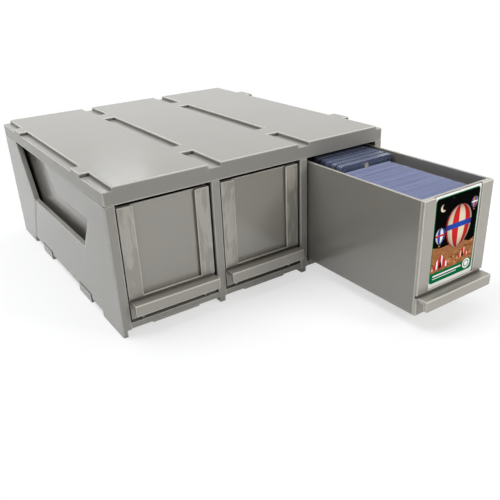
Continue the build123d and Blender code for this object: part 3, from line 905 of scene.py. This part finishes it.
def plain_card():
    """Cards in the holders: dull blue-grey with a fine check."""
    material, nodes = new_material("card_in_holder")
    x, _, z = nodes.axes(nodes.place())
    weave = (x * 900.0).sine() * (z * 900.0).sine()
    tone = nodes.mix((weave * 0.5 + 0.5) * 0.5, CARD_DARK, CARD_PALE)
    shader = nodes.add("ShaderNodeBsdfPrincipled", None, {"Base Color": tone, "Roughness": 0.5})
    nodes.surface(shader)
    return material


# ---------------------------------------------------------------- stage
IMAGE_SIDE = 500            # pixels
SENSOR_WIDTH = 36.0         # of the camera, in millimetres
FLOOR_SIDE = 40.0
SHADOW_REACH = 0.40         # the shadow starts to fade this far from the box's middle
SHADOW_FADE = 0.45          # and is gone after this further stretch
# Each lamp's name, place in metres, side in metres, colour, and whether reflections show it.
COOL, PLAIN, WARM = (0.97, 0.985, 1.0), (1.0, 1.0, 1.0), (1.0, 0.97, 0.92)
LAMPS = (
    ("left", (-0.6, 0.3, 1.4), 0.8, COOL, True),
    ("top", (0.1, 0.3, 1.4), 1.2, COOL, True),
    ("right", (1.3, 0.1, 0.8), 1.0, COOL, False),
    ("front", (0.45, -1.25, 0.9), 0.8, WARM, False),
    ("glint", (0.287, 1.04, 0.596), 0.15, COOL, True),
    ("pull", (0.5, -0.95, 0.55), 0.3, PLAIN, False),
)


def aim(obj, target):
    direction = Vector(target) - obj.location
    obj.rotation_euler = direction.to_track_quat("-Z", "Y").to_euler()


def lamp(name, place, target, side, power, colour, mirrored):
    """A square softbox that faces its target, and may be left out of reflections."""
    light = bpy.data.lights.new(name, "AREA")
    light.size = side
    light.energy = power
    light.color = colour
    obj = bpy.data.objects.new(name, light)
    obj.location = place
    obj.visible_glossy = mirrored
    bpy.context.scene.collection.objects.link(obj)
    aim(obj, target)


def seen_directly(nodes):
    """One for camera rays and for reflections and refractions, zero for light on surfaces."""
    rays = [nodes.add("ShaderNodeLightPath", out=name)
            for name in ("Is Camera Ray", "Is Glossy Ray", "Is Transmission Ray")]
    return (rays[0] + rays[1] + rays[2]).clamped()


def white_world(ambient):
    world = bpy.data.worlds.new("studio")
    bpy.context.scene.world = world
    nodes = Nodes(world)
    strength = ambient + (1.0 - ambient) * seen_directly(nodes)
    light = nodes.add("ShaderNodeBackground", None, {"Color": (1, 1, 1, 1), "Strength": strength})
    nodes.add("ShaderNodeOutputWorld", None, {"Surface": light})


def studio_floor(settings, middle):
    """Pale floor that keeps the shadow near the object and is plain white further out."""
    bpy.ops.object.select_all(action="DESELECT")
    bpy.ops.mesh.primitive_plane_add(size=FLOOR_SIDE, location=(0, 0, 0))
    floor = bpy.context.object
    floor.name = "floor"
    material, nodes = new_material("floor_paper")
    x, y, _ = nodes.axes(nodes.place())
    reach = ((x - middle.x) ** 2.0 + (y - middle.y) ** 2.0) ** 0.5
    far = ((reach - SHADOW_REACH) / SHADOW_FADE).clamped()
    own_white = (far * (1.0 - settings.floor_glow) + settings.floor_glow) * seen_directly(nodes)
    paper = nodes.add("ShaderNodeBsdfDiffuse", None, {"Color": (*settings.floor_colour, 1.0)})
    glow = nodes.add("ShaderNodeEmission", None, {"Color": (1, 1, 1, 1), "Strength": 1.0})
    mixed = nodes.add("ShaderNodeMixShader", None, {0: own_white, 1: paper, 2: glow})
    nodes.surface(mixed)
    dress(floor, material)


class CARDBOX_OT_set_stage(bpy.types.Operator):
    """Sets the floor, the lamps, the white surroundings and the camera"""

    bl_idname = "card_box.set_stage"
    bl_label = "Set stage"

    def execute(self, context):
        settings = context.scene.card_box_stage
        middle = (cad_low + cad_high) / 2
        studio_floor(settings, middle)
        white_world(settings.ambient)
        for name, place, side, colour, mirrored in LAMPS:
            power = getattr(settings, f"{name}_power")
            lamp(f"{name}_lamp", place, middle, side, power, colour, mirrored)
        camera = bpy.data.objects.new("camera", bpy.data.cameras.new("camera"))
        context.scene.collection.objects.link(camera)
        camera.location = settings.camera_place
        camera.rotation_euler = settings.camera_turn
        camera.data.sensor_width = SENSOR_WIDTH
        camera.data.lens = settings.focal_pixels * SENSOR_WIDTH / IMAGE_SIDE
        context.scene.camera = camera
        context.scene.view_settings.view_transform = "Standard"
        return {"FINISHED"}


# ---------------------------------------------------------------- panel
STEPS = (
    CARDBOX_OT_dress_cabinet, CARDBOX_OT_dress_drawers, CARDBOX_OT_print_label,
    CARDBOX_OT_stand_sleeves, CARDBOX_OT_stand_holders, CARDBOX_OT_set_stage,
)


class CARDBOX_PT_steps(bpy.types.Panel):
    """Lists the steps that build the box's looks"""

    bl_idname = "CARDBOX_PT_steps"
    bl_label = "Card drawer box"
    bl_space_type = "VIEW_3D"
    bl_region_type = "UI"
    bl_category = "Card box"

    def draw(self, context):
        for step in STEPS:
            self.layout.operator(step.bl_idname)
        for name in SETTINGS:
            column = self.layout.column()
            group = getattr(context.scene, name)
            for key in group.__annotations__:
                column.prop(group, key)


def register():
    for name, group in SETTINGS.items():
        bpy.utils.register_class(group)
        setattr(bpy.types.Scene, name, PointerProperty(type=group))
    for step in STEPS:
        bpy.utils.register_class(step)
    bpy.utils.register_class(CARDBOX_PT_steps)


def unregister():
    bpy.utils.unregister_class(CARDBOX_PT_steps)
    for step in reversed(STEPS):
        bpy.utils.unregister_class(step)
    for name, group in SETTINGS.items():
        delattr(bpy.types.Scene, name)
        bpy.utils.unregister_class(group)


def main():
    register()
    bpy.ops.card_box.dress_cabinet()
    bpy.ops.card_box.dress_drawers()
    bpy.ops.card_box.print_label()
    bpy.ops.card_box.stand_sleeves()
    bpy.ops.card_box.stand_holders()
    bpy.ops.card_box.set_stage()


if __name__ == "__main__":
    main()
